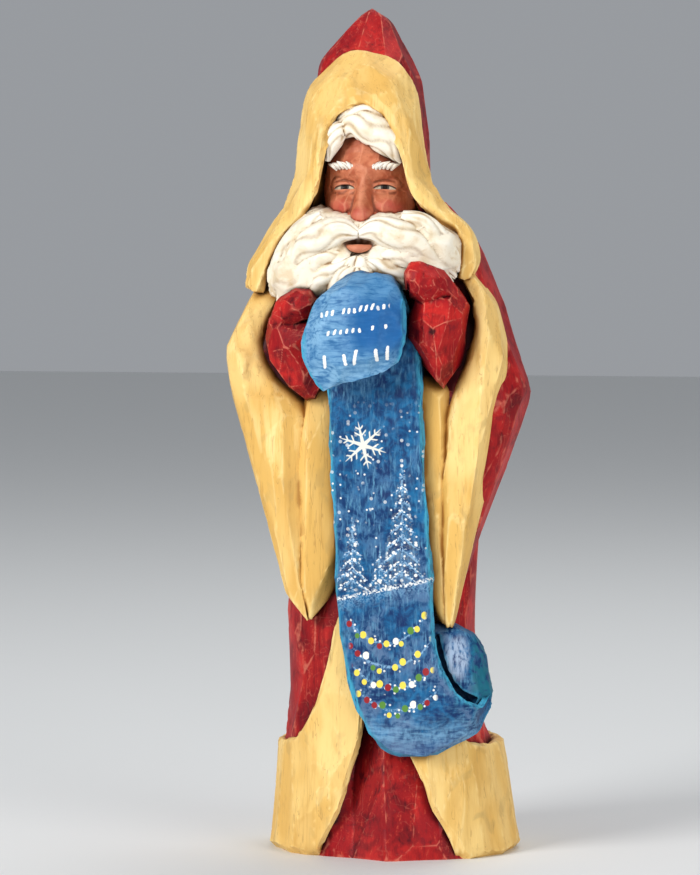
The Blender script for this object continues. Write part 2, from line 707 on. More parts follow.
def face_forms(x, z, oval):
    """The broad forms of the face: how far it stands forward at a place across (x) and up (z)."""

    def swell(cx, cz, wide, tall):
        return sum(np.exp(-(((x - side) / wide) ** 2) - ((z - cz) / tall) ** 2) for side in {-cx, cx})

    def dome(cx, cz, wide, tall, base, lift):
        """A rounded lump whose rim lies at base and whose top stands at base and lift together."""
        round_off = 1 - ((np.abs(x) - cx) / wide) ** 2 - ((z - cz) / tall) ** 2
        return np.where(round_off > 0, base + lift * np.sqrt(np.clip(round_off, 0, 1)), oval - 6)

    def merged(a, b, ease):
        return (a + b + np.sqrt((a - b) ** 2 + ease**2)) / 2

    front = (
        oval
        + 1.5 * swell(5.2, BROW_Z + 0.4, 4.8, 2.5)
        - 2.9 * swell(EYE_SPACING, EYE_Z + 0.2, 3.9, 3.1)
        + 2.7 * swell(7.4, NOSE_BASE_Z + 4.2, 4.6, 4.6)
        + 1.2 * swell(0, NOSE_BASE_Z - 5, 6, 4)
    )
    plain = FACE_FORWARD * np.sqrt(1 - (EYE_SPACING / HEAD_RADII[0]) ** 2)
    front = merged(front, dome(EYE_SPACING, EYE_Z - 0.3, 4.5, 4.0, plain - 4.6, 3.6), 0.5)
    half, tip = np.moveaxis(nose_shape(z), -1, 0)
    bridge = oval - 3 + (tip + 3) * np.clip(1 - (x / (half * 1.5)) ** 2, 0, 1) ** 0.8
    front = merged(front, np.where((z > NOSE_BASE_Z - 1.5) & (z < BROW_Z + 4), bridge, oval - 6), 0.9)
    front = merged(front, dome(0, NOSE_BASE_Z + 2.5, 3.4, 3.1, FACE_FORWARD + 2.2, 4.6), 0.7)
    return merged(front, dome(3.2, NOSE_BASE_Z + 1.7, 2.2, 2.3, FACE_FORWARD - 0.4, 3.2), 0.6)


def eye_slit(across):
    """The middle line and half height of the narrow opening between the lids, from -1 to 1 across an eye."""
    return -0.12 * across - 0.5 * across**2, LID_GAP * np.sqrt(np.clip(1 - across**2, 0, 1))


def face_lines(x, z):
    """The fine cuts on the face: the slits of the eyes, lid creases, brow lines and nostrils."""
    across, up = (np.abs(x) - EYE_SPACING) / EYE_HALF, z - EYE_Z + 0.4
    middle, half = eye_slit(across)

    def groove(off, half_width):
        return np.exp(-((off / half_width) ** 2))

    window = np.clip((1.25 - across**2) / 0.5, 0, 1)
    form = -0.55 * np.clip((half - np.abs(up - middle)) / 0.2, 0, 1)
    form = form - 0.42 * groove(up - 1.95 + 0.55 * across**2, 0.42) * window
    form = form - 0.26 * groove(up + 2.3 - 0.5 * across**2, 0.5) * window
    outward = np.abs(x) - EYE_SPACING - EYE_HALF
    fade = np.clip(outward / 0.8, 0, 1) * np.clip((3.2 - outward) / 2, 0, 1)
    for slope in (0.45, -0.05, -0.5):
        form = form - 0.2 * fade * groove(up + 0.7 - slope * outward, 0.34)
    for height, wide in ((BROW_Z + 5.6, 6.0), (BROW_Z + 8.2, 5.0)):
        sag = z - height + 0.022 * x**2 - 0.25 * np.sin(x * 0.8 + height)
        form = form - 0.28 * groove(sag, 0.5) * np.clip(1.3 - (x / wide) ** 2, 0, 1)
    fold = np.abs(x) - 5.0 - 0.6 * (NOSE_BASE_Z + 3.5 - z)
    form = form - 0.4 * groove(fold, 0.7) * np.clip((NOSE_BASE_Z + 5 - z) / 2.5, 0, 1)
    return form - 1.3 * groove(np.abs(x) - 1.9, 0.8) * groove(z - NOSE_BASE_Z + 0.5, 0.7)


nose_shape = through([
    # z, half width, tip in front of the face
    [NOSE_BASE_Z - 2, 2.4, 3.4],
    [NOSE_BASE_Z, 3, 6.6],
    [NOSE_BASE_Z + 2.5, 3.2, 7.4],
    [NOSE_BASE_Z + 6, 2.5, 5.2],
    [NOSE_BASE_Z + 10, 1.9, 2.4],
    [BROW_Z - 2.5, 1.7, 1],
    [BROW_Z + 1, 2.4, 0.9],
    [BROW_Z + 4, 2.8, -1],
])


def make_head():
    """An oval with the face's relief on its front, in finer steps where the nose and eyes are."""
    cx, cy, cz = HEAD_MIDDLE
    rx, ry, rz = HEAD_RADII
    reach = rz * 0.985
    z = graded([cz - reach, NOSE_BASE_Z - 4, EYE_Z - 5, EYE_Z + 3.5, cz + reach], [15, 29, 37, 39])
    face = graded([-0.95, -0.36, -0.05, 0.05, 0.36, 0.95], [39, 29, 4, 29, 39])
    sides = np.geomspace(0.95, math.pi, 16)
    turn = np.concatenate([-sides[:0:-1], face, sides[1:-1]])
    level = np.sqrt(1 - ((z - cz) / rz) ** 2)[:, None]
    tall = np.broadcast_to(z[:, None], (len(z), len(turn)))
    rings = np.stack([cx + rx * level * np.sin(turn), cy - ry * level * np.cos(turn), tall], -1)
    made = whittled(lofted(rings, SKIN), width=4.2, tilt=3, bite=0.05, seed=71, nearness=0.02)

    # The oval is cut to facets first, and the face is then modelled on its front.
    here = made.points
    x, z, forward = here[:, 0] - cx, here[:, 2], cy - here[:, 1]
    on_front = np.clip((forward - 2) / 6, 0, 1)
    shaped = face_forms(x, z, forward) + face_lines(x, z)
    here[:, 1] = cy - (forward + (shaped - forward) * on_front)
    made.wear *= 0.6
    return made


brow_line = through([
    # across, in front of the face, above the brow line
    [2.2, 0.2, -0.2],
    [4.6, -0.5, 0.6],
    [7.2, 0.2, 0.6],
    [9.8, 2, -0.5],
    [11.6, 3.8, -2],
])


def brow_tufts(side):
    """Short tufts that rise from the brow line and lean outward, one beside the other."""
    tufts = []
    for i, across in enumerate(np.linspace(2.6, 10.4, 8)):
        y, up = brow_line(across)
        lean, rise = 0.9 + 0.2 * i, 1.8 - 0.2 * i + 0.35 * (i % 2)
        foot = [across, FACE_FRONT + y + 0.9, BROW_Z - 0.1 + up, 0.5]
        body = [across + lean * 0.5, FACE_FRONT + y + 0.2, BROW_Z + 0.6 + up + rise * 0.3, 0.72]
        tip = [across + lean * 1.4, FACE_FRONT + y + 0.9, BROW_Z + 0.7 + up + rise * 0.8, 0.22]
        tufts.append([[HEAD_MIDDLE[0] + side * x, y, z, half] for x, y, z, half in (foot, body, tip)])
    return tufts


# Hair and beard: locks swept along their paths by Geometry Nodes, with strands cut along them.

hair_locks = [
    # x, y, z, half width from the root to the tip
    [[-12.5, -21.4, 216.2, 1.2], [-8, -22.6, 219.4, 4.2], [-2, -23.2, 218.2, 5.2], [3, -22.8, 213.8, 4.4],
     [6.2, -21.8, 208.4, 1.2]],
    [[-13.2, -21.2, 220.2, 2.6], [-7.4, -22, 223.2, 3.5], [0, -21.4, 222, 3.7], [4.6, -20.8, 216.8, 2]],
    [[-10.4, -22, 219.2, 1.2], [-12.8, -22.8, 218.4, 3.2], [-14.9, -23.2, 214.2, 3.2],
     [-16.2, -22.8, 208.8, 0.9]],
]
beard_outline = [[-20, 195], [-28, 187.4], [-33, 179.6], [-34.4, 172.5], [-32.6, 168], [-29, 166.4],
                 [-25, 168], [-14, 170.4], [0, 172.4], [14, 174.6], [23, 175.6], [24.4, 181], [23, 187],
                 [17, 191.6], [2, 194], [-10, 194]]
beard_locks = [
    # x, z, half width from the root to the tip
    [[-16, 192.4, 2], [-21, 188.6, 4], [-25.8, 183.2, 4.4], [-30, 176.6, 3.8], [-33.4, 170.4, 0.9]],
    [[-9.6, 181, 1.5], [-14.6, 180.6, 3.8], [-21, 177, 4.6], [-27.4, 171, 3.8], [-31, 165.4, 0.9]],
    [[-7, 179.6, 1.5], [-12.4, 176.8, 3.6], [-18.4, 172.4, 3.8], [-23.4, 167.8, 2.4], [-25.6, 165.6, 0.9]],
    [[-6.4, 178.2, 1.6], [-8.8, 175, 3.8], [-11.6, 171, 3.4], [-13, 168.4, 1.6]],
    [[-5, 178.4, 1.4], [-3.8, 175, 3.6], [-2, 170.6, 3]],
    [[-0.6, 181, 1.5], [4.6, 181.2, 3.8], [11, 179, 4.4], [17.4, 175.6, 3.6], [21.4, 172.4, 1]],
    [[-3, 179.6, 1.5], [2, 177.8, 3.6], [8, 174.6, 3.8], [13, 171.6, 2.4]],
    [[7, 192.4, 2], [12, 190, 4], [16.8, 186, 4.2], [20.8, 181, 3.4], [23.2, 176, 0.9]],
]
moustache = [
    [[-5, 187.4, 1.6], [-10.6, 188, 4.4], [-17.2, 185.6, 5.4], [-23.4, 180.4, 5], [-28.8, 174.4, 3.8],
     [-32.4, 168.8, 0.9]],
    [[-5, 187.4, 1.6], [0.6, 188.2, 4.4], [7.2, 186.2, 5.4], [13.4, 182.4, 5], [18.6, 178.2, 3.8],
     [22.4, 174.2, 0.9]],
]


def beard_face(x, z):
    """The beard's face falls back from the middle towards both sides."""
    return BEARD_FRONT + 11.5 * ((x - BEARD_X) / 30) ** 2 + 0.12 * max(0, z - 186)


def make_beard():
    """The beard's broad mass, with wavy strands that fan out from above the mouth."""
    made = pillow(beard_outline, y=-16, front=17.6, back=8, paint=WHITE, sides=180, rings=52, power=3.2)
    x, z = made.points[:, 0] - BEARD_X, made.points[:, 2]
    made.along = unit(np.stack([x, np.zeros_like(x), z - STRAND_FAN_Z], -1))
    made = whittled(made, width=4.5, length=11, tilt=3, bite=0.1, seed=70, nearness=0.03)
    far = np.hypot(x, z - STRAND_FAN_Z)
    turn = np.arctan2(x, STRAND_FAN_Z - z) + 0.07 * np.sin(far * 0.42 + 2.5 * np.sin(x * 0.11))
    ridge = np.abs(np.sin(turn * 13 + 0.6 * np.sin(turn * 5))) ** 0.7
    made.points += made.normals() * ((ridge - 1) * 0.6 * np.clip(far / 12, 0, 1))[:, None]
    mouth = np.exp(-((x / 5.0) ** 4) - ((z - (MOUTH_Z - 0.4)) / 2.4) ** 2)
    made.points[:, 1] += 3.4 * mouth * np.clip((-22 - made.points[:, 1]) / 4, 0, 1)
    made.wear = ridge * 1.5 - 1.1 - mouth
    return made


def make_lip():
    """The closed mouth's lower lip, just under the moustache."""
    rows = [[-8.8, -30.9, 183.7, 0.5], [-7, -31.9, 183.1, 1.05], [-5, -32.4, 182.9, 1.3],
            [-3, -31.9, 183.1, 1.05], [-1.2, -30.9, 183.7, 0.5]]
    return tube(rows, step=0.35, sides=22, paint=SKIN)


def add_node(tree, kind, settings, sockets):
    """Adds a node: its type, then its settings, then its sockets, each a value or a link."""
    node = tree.nodes.new(kind)
    for name, value in (settings or {}).items():
        setattr(node, name, value)
    for name, value in (sockets or {}).items():
        value = getattr(value, "socket", value)
        if isinstance(value, bpy.types.NodeSocket):
            tree.links.new(value, node.inputs[name])
        else:
            node.inputs[name].default_value = value
    return node


class Tree:
    """A geometry tree whose named inputs are sizes."""

    def __init__(self, name, inputs):
        self.tree = bpy.data.node_groups.new(name, "GeometryNodeTree")
        face = self.tree.interface
        face.new_socket("Geometry", in_out="INPUT", socket_type="NodeSocketGeometry")
        face.new_socket("Geometry", in_out="OUTPUT", socket_type="NodeSocketGeometry")
        self.sockets = {}
        for label, (kind, default) in inputs.items():
            socket = face.new_socket(label, in_out="INPUT", socket_type=kind)
            if default is not None:
                socket.default_value = default
            self.sockets[label] = socket.identifier
        self.start = self.tree.nodes.new("NodeGroupInput").outputs
        self.end = self.tree.nodes.new("NodeGroupOutput").inputs

    def add(self, kind, settings=None, sockets=None):
        return add_node(self.tree, kind, settings, sockets).outputs

    def maths(self, operation, *values):
        return self.add("ShaderNodeMath", {"operation": operation}, dict(enumerate(values)))[0]

    def noted(self, geometry, name, value):
        """The geometry with a number written at each of its points."""
        sockets = {"Geometry": geometry, "Name": name, "Value": value}
        return self.add("GeometryNodeStoreNamedAttribute", {"data_type": "FLOAT"}, sockets)[0]

    def told(self, name):
        return self.add("GeometryNodeInputNamedAttribute", {"data_type": "FLOAT"}, {"Name": name})[0]


def lock_tree():
    """Sweeps a round section along a path and cuts wavy strands along it."""
    tree = Tree("carved_lock", {
        "Sides": ("NodeSocketInt", 48),
        "Strands": ("NodeSocketFloat", 9.0),
        "Depth": ("NodeSocketFloat", 0.4),
        "Twist": ("NodeSocketFloat", 0.5),
        "Seed": ("NodeSocketFloat", 0.0),
        "Paint": ("NodeSocketMaterial", None),
    })
    add, maths, start = tree.add, tree.maths, tree.start
    path = add("GeometryNodeMeshToCurve", {}, {"Mesh": start["Geometry"]})[0]
    path = tree.noted(path, "walked", add("GeometryNodeSplineParameter")["Length"])
    ring = add("GeometryNodeCurvePrimitiveCircle", {}, {"Resolution": start["Sides"], "Radius": 1.0})[0]
    ring = tree.noted(ring, "share", add("GeometryNodeSplineParameter")["Factor"])
    width, share, walked = (tree.told(name) for name in ("half_width", "share", "walked"))
    sockets = {"Curve": path, "Profile Curve": ring, "Scale": width, "Fill Caps": True}
    skin = add("GeometryNodeCurveToMesh", {}, sockets)[0]

    # Strands are uneven ridges round the section that sway along the path, with fine hairs on them.
    sway = maths("SINE", maths("MULTIPLY_ADD", walked, 0.42, start["Seed"]))
    turn = maths("MULTIPLY_ADD", sway, start["Twist"], maths("MULTIPLY", share, start["Strands"]))
    round_turn = maths("MULTIPLY", share, 2 * math.pi)
    spot = add("ShaderNodeCombineXYZ", {}, {
        "X": maths("COSINE", round_turn),
        "Y": maths("SINE", round_turn),
        "Z": maths("MULTIPLY_ADD", walked, 0.03, start["Seed"]),
    })[0]
    uneven = add("ShaderNodeTexNoise", {}, {"Vector": spot, "Scale": 1.1, "Detail": 1.0})[0]
    wave = maths("SINE", maths("MULTIPLY", maths("ADD", turn, maths("MULTIPLY", uneven, 1.2)), math.pi))
    ridge = maths("POWER", maths("ABSOLUTE", wave), 0.8)
    hairs = maths("MULTIPLY_ADD", turn, math.pi * 3, maths("MULTIPLY", sway, 1.3))
    hairs = maths("ABSOLUTE", maths("SINE", hairs))
    height = maths("MULTIPLY_ADD", hairs, 0.12, maths("SUBTRACT", ridge, 1.05))
    height = maths("MULTIPLY", height, maths("MULTIPLY_ADD", uneven, 2.6, -0.5))
    reach = maths("MINIMUM", maths("MULTIPLY", width, 0.16), start["Depth"])
    sockets = {"Vector": add("GeometryNodeInputNormal")[0], "Scale": maths("MULTIPLY", height, reach)}
    offset = add("ShaderNodeVectorMath", {"operation": "SCALE"}, sockets)[0]
    skin = tree.noted(skin, "wear", maths("MULTIPLY_ADD", ridge, 1.5, -1.1))
    skin = add("GeometryNodeSetPosition", {}, {"Geometry": skin, "Offset": offset})[0]
    skin = add("GeometryNodeRealizeInstances", {}, {"Geometry": skin})[0]
    skin = add("GeometryNodeSetMaterial", {}, {"Geometry": skin, "Material": start["Paint"]})[0]
    tree.tree.links.new(skin, tree.end["Geometry"])
    return tree


# From forms to Blender meshes.

# What each point of a form tells the paint.
NOTES = ("wear", "tone", "rim")
SHARPEST_BEND = 1.2
RAY_START = 0.12
RAY_REACH = 9.0


def read(mesh, label):
    values = np.zeros(len(mesh.vertices), np.float32)
    mesh.attributes[label].data.foreach_get("value", values)
    return values.astype(float)


def write(mesh, label, values):
    if label not in mesh.attributes:
        mesh.attributes.new(label, "FLOAT", "POINT")
    mesh.attributes[label].data.foreach_set("value", np.asarray(values, np.float32))


def whole(mesh):
    """Marks the points of a mesh before it is joined, to tell them from the points of the joins."""
    write(mesh, "whole", np.ones(len(mesh.vertices)))


def evaluated(item):
    """An object's mesh with its modifiers worked out."""
    depsgraph = bpy.context.evaluated_depsgraph_get()
    finished = item.evaluated_get(depsgraph)
    return bpy.data.meshes.new_from_object(finished, preserve_all_data_layers=True, depsgraph=depsgraph)


def mesh_object(form, name, paints):
    """A form as a mesh object in millimetres, with its attributes."""
    mesh = bpy.data.meshes.new(name)
    fans = form.faces[:, 0] == form.faces[:, 3]
    polygons = form.faces[~fans].tolist() + form.faces[fans][:, :3].tolist()
    mesh.from_pydata(form.points.tolist(), [], polygons)
    mesh.materials.append(paints[form.paint])
    for label in NOTES:
        write(mesh, label, getattr(form, label))
    whole(mesh)
    return bpy.data.objects.new(name, mesh)


def swept(rows, tree, name, step, settings):
    """A lock made by the lock tree along rows of [x, y, z, half width], as a plain mesh."""
    values = along_rows(rows, step)
    mesh = bpy.data.meshes.new(name + "_path")
    mesh.from_pydata(values[:, :3].tolist(), [(i, i + 1) for i in range(len(values) - 1)], [])
    write(mesh, "half_width", values[:, 3])
    path = bpy.data.objects.new(name, mesh)
    bpy.context.scene.collection.objects.link(path)
    grown = path.modifiers.new("lock", "NODES")
    grown.node_group = tree.tree
    for label, value in settings.items():
        grown[tree.sockets[label]] = value
    done = evaluated(path)
    bpy.data.objects.remove(path)
    for label in ("half_width", "share", "walked", "UVMap", "radius", "tilt"):
        if label in done.attributes:
            done.attributes.remove(done.attributes[label])
    for label in ("tone", "rim"):
        write(done, label, np.zeros(len(done.vertices)))
    whole(done)
    return bpy.data.objects.new(name, done)


def joined(base, cuts_and_joins):
    """One carving from a base object and steps of (operation, objects)."""
    scene = bpy.context.scene.collection
    scene.objects.link(base)
    held = []
    for i, (operation, objects) in enumerate(cuts_and_joins):
        group = bpy.data.collections.new(f"step_{i}")
        scene.children.link(group)
        for item in objects:
            group.objects.link(item)
        knife = base.modifiers.new(f"step_{i}", "BOOLEAN")
        knife.operation = operation
        knife.operand_type = "COLLECTION"
        knife.collection = group
        knife.solver = "MANIFOLD"
        knife.material_mode = "TRANSFER"
        held.append(group)
    mesh = evaluated(base)
    for group in held:
        for item in list(group.objects):
            bpy.data.objects.remove(item)
        bpy.data.collections.remove(group)
    bpy.data.objects.remove(base)
    return mesh


def triples(items, label):
    """A vector of each vertex or normal, as rows of three numbers."""
    flat = np.zeros(len(items) * 3, np.float32)
    items.foreach_get(label, flat)
    return flat.reshape(-1, 3).astype(float)


def edges_of(mesh):
    flat = np.zeros(len(mesh.edges) * 2, np.int32)
    mesh.edges.foreach_get("vertices", flat)
    return flat.reshape(-1, 2)


def keep_largest_shell(mesh):
    """The block is solid wood, so a gap shut in between two carved forms is filled."""
    label = np.arange(len(mesh.vertices))
    a, b = edges_of(mesh).T
    while True:
        low = np.minimum(label[a], label[b])
        before = label.copy()
        np.minimum.at(label, a, low)
        np.minimum.at(label, b, low)
        label = label[label]
        if (label == before).all():
            break
    names, sizes = np.unique(label, return_counts=True)
    if len(names) == 1:
        return
    keep = names[sizes.argmax()]
    solid = bmesh.new()
    solid.from_mesh(mesh)
    solid.verts.ensure_lookup_table()
    lost = [solid.verts[i] for i in np.flatnonzero(label != keep)]
    bmesh.ops.delete(solid, geom=lost, context="VERTS")
    solid.to_mesh(mesh)
    solid.free()


def beside(values, a, b):
    """The sum of the values of each point's neighbours along the edges from a to b."""
    return np.bincount(a, values[b], len(values)) + np.bincount(b, values[a], len(values))


def averaged(values, a, b, rounds):
    """Values spread over their neighbours along the mesh's edges."""
    share = beside(np.ones(len(values)), a, b) + 1
    for _ in range(rounds):
        values = (beside(values, a, b) + values) / share
    return values


def mend_seams(mesh):
    """Points that a join made take their wear and tone from the points beside them."""
    a, b = edges_of(mesh).T
    known = (read(mesh, "whole") > 0.5).astype(float)
    for label in NOTES:
        values, sure = read(mesh, label) * known, known.copy()
        for _ in range(3):
            total, weight = beside(values * sure, a, b), beside(sure, a, b)
            fill = (sure < 0.5) & (weight > 0)
            values[fill] = total[fill] / weight[fill]
            sure[fill] = 1
        write(mesh, label, values)
    mesh.attributes.remove(mesh.attributes["whole"])


def weather(mesh, rays):
    """Notes at each point how deep in a hollow it lies and how sharply the surface bends there."""
    points, normals = triples(mesh.vertices, "co"), triples(mesh.vertex_normals, "vector")
    a, b = edges_of(mesh).T
    count = len(points)
    run = points[b] - points[a]
    bend = ((normals[b] - normals[a]) * run).sum(1) / np.maximum((run * run).sum(1), 0.01)
    bend = np.bincount(a, bend, count) + np.bincount(b, bend, count)
    bend = bend / np.maximum(beside(np.ones(count), a, b), 1)
    write(mesh, "crease", averaged(np.clip(-bend, 0, SHARPEST_BEND), a, b, 2))
    write(mesh, "edge", averaged(np.clip(bend, 0, SHARPEST_BEND), a, b, 1))

    # Rays leave each point over the half of space that it faces, each set turned by its own random angle.
    turn = np.arange(rays) * math.pi * (3 - math.sqrt(5))
    level = np.sqrt((np.arange(rays) + 0.5) / rays)
    helper = np.where(np.abs(normals[:, :1]) > 0.8, [[0.0, 1.0, 0.0]], [[1.0, 0.0, 0.0]])
    flat_x = unit(np.cross(normals, helper))
    flat_y = np.cross(normals, flat_x)
    spin = np.random.default_rng(5).uniform(0, 2 * math.pi, count)[:, None]
    across = flat_x * np.cos(spin) + flat_y * np.sin(spin)
    other = flat_y * np.cos(spin) - flat_x * np.sin(spin)
    start = (points + normals * RAY_START).tolist()
    tree = BVHTree.FromPolygons(points.tolist(), [tuple(p.vertices) for p in mesh.polygons])
    shut = np.zeros(count)
    for x, y, z in zip(level * np.cos(turn), level * np.sin(turn), np.sqrt(1 - level**2)):
        way = (across * x + other * y + normals * z).tolist()
        for i in range(count):
            hit = tree.ray_cast(start[i], way[i], RAY_REACH)[3]
            if hit is not None:
                shut[i] += 1 - hit / RAY_REACH
    write(mesh, "depth", averaged(shut / rays, a, b, 2))


# Scroll.

scroll_rows = through_in_order([
    # left edge x, y, z, right edge x, y, z, thickness
    [-14.4, -41, 141.6, 8.2, -41.4, 149.4, 2.6],
    [-19, -42, 149.6, 10.6, -42.4, 156, 4],
    [-19.4, -41.2, 157.8, 10.4, -41.6, 162.8, 5.6],
    [-17, -39.4, 165.2, 10.2, -39.4, 168.4, 6],
    [-11.6, -35.6, 169.6, 8, -35.8, 171, 5],
    [-12.6, -32.8, 165.8, 9.6, -32.8, 167.4, 4],
    [-14.2, -31.6, 155, 12, -31.6, 157, 4],
    [-14.3, -31.2, 141, 13.5, -31.2, 142, 4],
    [-13.3, -31.2, 118, 14.7, -31.2, 119, 4],
    [-12.4, -31.2, 96, 16.1, -31.2, 97, 4],
    [-11.6, -31.4, 76, 17.4, -31.4, 78, 4],
    [-10.2, -31.6, 64, 18.6, -32, 67, 3.6],
    [-7.2, -32, 52.6, 20.6, -32.8, 59.2, 3.4],
    [-2.6, -32.2, 40.4, 23.8, -33.4, 53.4, 3.4],
    [5, -31.6, 33, 27, -33.2, 50, 3.4],
    [16.6, -30, 32.8, 29.4, -32.4, 48.2, 3.2],
    [28, -26.8, 38.6, 31.7, -29.6, 47.2, 3],
    [33.2, -22.4, 47, 32.8, -24.4, 50.6, 2.4],
])


def make_scroll():
    place = evenly_along(lambda s: scroll_rows(s)[:, :3] * 0.6 + scroll_rows(s)[:, 3:6] * 0.4, 0, 17, 1.05)
    rows = scroll_rows(place)
    # The flap is crowned more than the long sheet that hangs from it.
    crown = 0.8 + 2.6 * np.clip((5.2 - place) / 1.4, 0, 1) * np.clip((place + 0.6) / 1.2, 0, 1)
    made = band(rows[:, :3], rows[:, 3:6], rows[:, 6], sides=68, crown=crown, power=3.4, paint=BLUE)
    return whittled(made, width=6.5, length=13, tilt=1.4, bite=0.04, seed=60, nearness=0.02)


backing = {
    "roll": [[-15, 146], [7, 152], [8.6, 166], [5, 170], [-10, 169], [-16, 160]],
    "back": [[-12, 165], [-12.4, 130], [-10.4, 80], [-6, 56], [3, 39], [14, 36], [24, 41], [22, 54],
             [16.2, 70], [13.6, 130], [10, 166]],
    "curl": [[13, 62], [16.4, 70.4], [22.4, 70.4], [28, 67.2], [31.2, 62.4], [32.6, 56], [33.6, 49.6],
             [31, 42.6], [24, 37], [12, 40]],
    "curl hollow": [[15.4, 63], [18.4, 67.8], [20.4, 63], [22.7, 57.2], [26, 52.6], [30.6, 49.8],
                    [28.6, 47.4], [23.4, 50], [18.6, 56]],
}


def make_backing():
    """The wood behind the scroll, and the curl at its foot."""
    curl = pillow(backing["curl"], y=-22, front=7.4, back=6, paint=BLUE, sides=96, rings=38, power=2.6)
    return [
        pillow(backing["roll"], y=-36, front=4, back=5, paint=BLUE, sides=90, rings=20, power=5),
        pillow(backing["back"], y=-25, front=5, back=7, paint=BLUE, sides=160, rings=26, power=7),
        whittled(curl, width=6, tilt=1.5, seed=61),
    ]


def make_curl_hollow():
    made = pillow(backing["curl hollow"], y=-31, front=5, back=7.5, paint=BLUE, sides=100, rings=34, power=4)
    return whittled(made, width=5, length=9, tilt=1.5, seed=62)


# Paint.


def operator(operation, reflected=False):
    """A Python operator that adds a Math node."""

    def made(self, other):
        return self.maths(operation, other, self) if reflected else self.maths(operation, self, other)

    return made


class Wire:
    """A number from a node's socket. Sums, products and powers of it add the Math nodes they need."""

    __add__, __radd__ = operator("ADD"), operator("ADD", reflected=True)
    __sub__, __rsub__ = operator("SUBTRACT"), operator("SUBTRACT", reflected=True)
    __mul__, __rmul__ = operator("MULTIPLY"), operator("MULTIPLY", reflected=True)
    __truediv__, __rtruediv__ = operator("DIVIDE"), operator("DIVIDE", reflected=True)
    __pow__, __rpow__ = operator("POWER"), operator("POWER", reflected=True)

    def __init__(self, paint, socket):
        self.paint, self.socket = paint, socket

    def __abs__(self):
        return self.maths("ABSOLUTE", self)

    def maths(self, operation, *values):
        return self.paint.add("ShaderNodeMath", {"operation": operation}, dict(enumerate(values)))

    def ramp(self, low, high):
        """0 below low and 1 above high, with a soft step between; low may be the higher one."""
        settings = {"interpolation_type": "SMOOTHSTEP"}
        flip = low > high
        sockets = {"Value": self, "From Min": min(low, high), "From Max": max(low, high)}
        sockets.update({"To Min": 1.0 if flip else 0.0, "To Max": 0.0 if flip else 1.0})
        return self.paint.add("ShaderNodeMapRange", settings, sockets)

    def clipped(self):
        return self.paint.add("ShaderNodeClamp", {}, {"Value": self})


def linear(red, green, blue):
    """A colour as it looks on a screen, from 0 to 255, as light."""
    parts = [c / 255 for c in (red, green, blue)]
    return tuple(c / 12.92 if c <= 0.04045 else ((c + 0.055) / 1.055) ** 2.4 for c in parts) + (1.0,)


class Paint:
    """One paint, mixed by nodes. Places are in millimetres, and add gives back a node's output."""

    def __init__(self, name):
        self.material = bpy.data.materials.new(name)
        self.material.use_nodes = True
        self.tree = self.material.node_tree
        self.tree.nodes.clear()
        where = self.add("ShaderNodeTexCoord", out="Object")
        self.place = self.vector("SCALE", {0: where, "Scale": 1 / MM})
        apart = {0: self.place}
        self.x, self.y, self.z = (self.add("ShaderNodeSeparateXYZ", {}, apart, out=k) for k in range(3))

    def add(self, kind, settings=None, sockets=None, out=0):
        return Wire(self, add_node(self.tree, kind, settings, sockets).outputs[out])

    def vector(self, operation, sockets):
        return self.add("ShaderNodeVectorMath", {"operation": operation}, sockets)

    def told(self, *names):
        """Numbers that the mesh holds at each point."""
        return [self.add("ShaderNodeAttribute", {"attribute_name": name}, out="Fac") for name in names]

    def mix(self, a, b, share):
        """One colour over another by a share; a colour is a wire, or a shade as it looks on a screen."""
        a, b = (linear(*shade) if isinstance(shade, tuple) else shade for shade in (a, b))
        return self.add("ShaderNodeMix", {"data_type": "RGBA"}, {0: share, 6: a, 7: b}, out=2)

    def lay(self, shade, share):
        """Lays a coat over what is painted so far."""
        self.colour = self.mix(self.colour, shade, share)

    def chance(self, number):
        """A random value from 0 to 1 that stays the same for the same number."""
        return self.add("ShaderNodeTexWhiteNoise", {"noise_dimensions": "1D"}, {"W": number})

    def noise(self, size, stretch=(1, 1, 1), detail=2.0, seed=0.0, roughness=0.5, swirl=0.0):
        """Soft noise whose patches are about that many millimetres across."""
        scale = tuple(1 / (size * s) for s in stretch)
        shift = (seed, seed * 1.7, seed * 0.6)
        spot = self.vector("MULTIPLY_ADD", {0: self.place, 1: scale, 2: shift})
        return self.add("ShaderNodeTexNoise", {}, {
            "Vector": spot, "Scale": 1.0, "Detail": detail, "Roughness": roughness, "Distortion": swirl,
        })

    def hairline(self, size, stretch, seed, thin=0.02):
        """Thin broken lines, such as scratches and the marks of single bristles."""
        line = abs(self.noise(size, stretch, detail=1.0, seed=seed, swirl=0.4) - 0.5).ramp(thin, thin * 0.3)
        return line * self.noise(size * 1.6, stretch, seed=seed + 5).ramp(0.48, 0.6)

    def finish(self, roughness, height, strength=0.6, shine=0.25):
        """The paint's surface: its colour, roughness and small relief in millimetres."""
        relief = self.add("ShaderNodeBump", {}, {"Height": height, "Strength": strength, "Distance": MM})
        surface = self.add("ShaderNodeBsdfPrincipled", {}, {
            "Base Color": self.colour, "Roughness": roughness, "Normal": relief, "Specular IOR Level": shine,
        })
        add_node(self.tree, "ShaderNodeOutputMaterial", {}, {"Surface": surface})
        return self.material


def wood_grain(paint):
    """Fine upright fibres of the basswood under the paint."""
    return paint.noise(0.55, stretch=(1, 1, 26), detail=2.0, seed=3.0)


